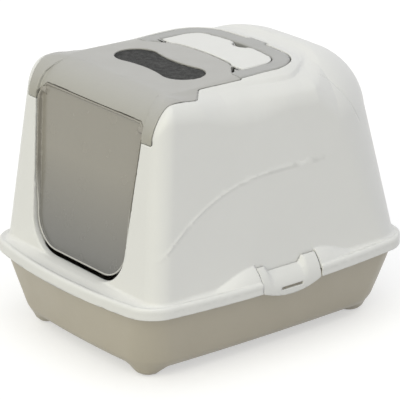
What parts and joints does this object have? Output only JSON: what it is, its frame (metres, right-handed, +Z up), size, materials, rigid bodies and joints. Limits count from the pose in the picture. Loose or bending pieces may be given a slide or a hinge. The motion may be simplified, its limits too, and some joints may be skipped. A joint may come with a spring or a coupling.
{
  "type": "covered litter box",
  "caption": "Covered litter box: flared tray on feet, tapered hood with swing flap, flip-up front lid with filter window, carry handle and side latches.",
  "frame": {"origin": "on the floor, under the middle of the box", "axes": "+Z up, the entrance faces -Y, +Y to the back, +X to the right as seen from the front"},
  "size_m": [0.3958, 0.5, 0.385],
  "materials": {
    "tray_plastic": "warm taupe, satin moulded",
    "hood_plastic": "white, satin moulded",
    "lid_plastic": "warm light grey, satin moulded",
    "flap_plastic": "taupe grey, satin moulded",
    "filter_foam": "dark charcoal fibre",
    "handle_plastic": "grey, satin moulded",
    "latch_plastic": "off-white, satin moulded"
  },
  "bodies": {
    "tray": {"tray": "tray_plastic"},
    "hood": {"hood": "hood_plastic"},
    "flip_top": {"flip_top": "lid_plastic", "filter_pad": "filter_foam", "filter_holder": "lid_plastic"},
    "entry_flap": {"entry_flap": "flap_plastic"},
    "handle": {"handle": "handle_plastic"},
    "right_latch": {"right_latch": "latch_plastic"},
    "left_latch": {"left_latch": "latch_plastic"}
  },
  "joints": [
    {"name": "hood_lift", "type": "slide", "parent": "tray", "child": "hood", "axis": [0, 0, 1], "range_m": [0, 0.3]},
    {"name": "flip_top_hinge", "type": "hinge", "parent": "hood", "child": "flip_top", "pos_m": [0, -0.004, 0.382], "axis": [-1, 0, 0], "range_deg": [0, 60]},
    {"name": "flap_hinge", "type": "hinge", "parent": "flip_top", "child": "entry_flap", "pos_m": [0, -0.18188, 0.343], "axis": [1, 0, 0], "range_deg": [-60, 60]},
    {"name": "handle_hinge", "type": "hinge", "parent": "hood", "child": "handle", "pos_m": [0, -0.004, 0.382], "axis": [1, 0, 0], "range_deg": [0, 90]},
    {"name": "right_latch_hinge", "type": "hinge", "parent": "hood", "child": "right_latch", "pos_m": [0.1944, 0, 0.138], "axis": [0, -1, 0], "range_deg": [0, 80]},
    {"name": "left_latch_hinge", "type": "hinge", "parent": "hood", "child": "left_latch", "pos_m": [-0.1944, 0, 0.138], "axis": [0, 1, 0], "range_deg": [0, 80]}
  ]
}
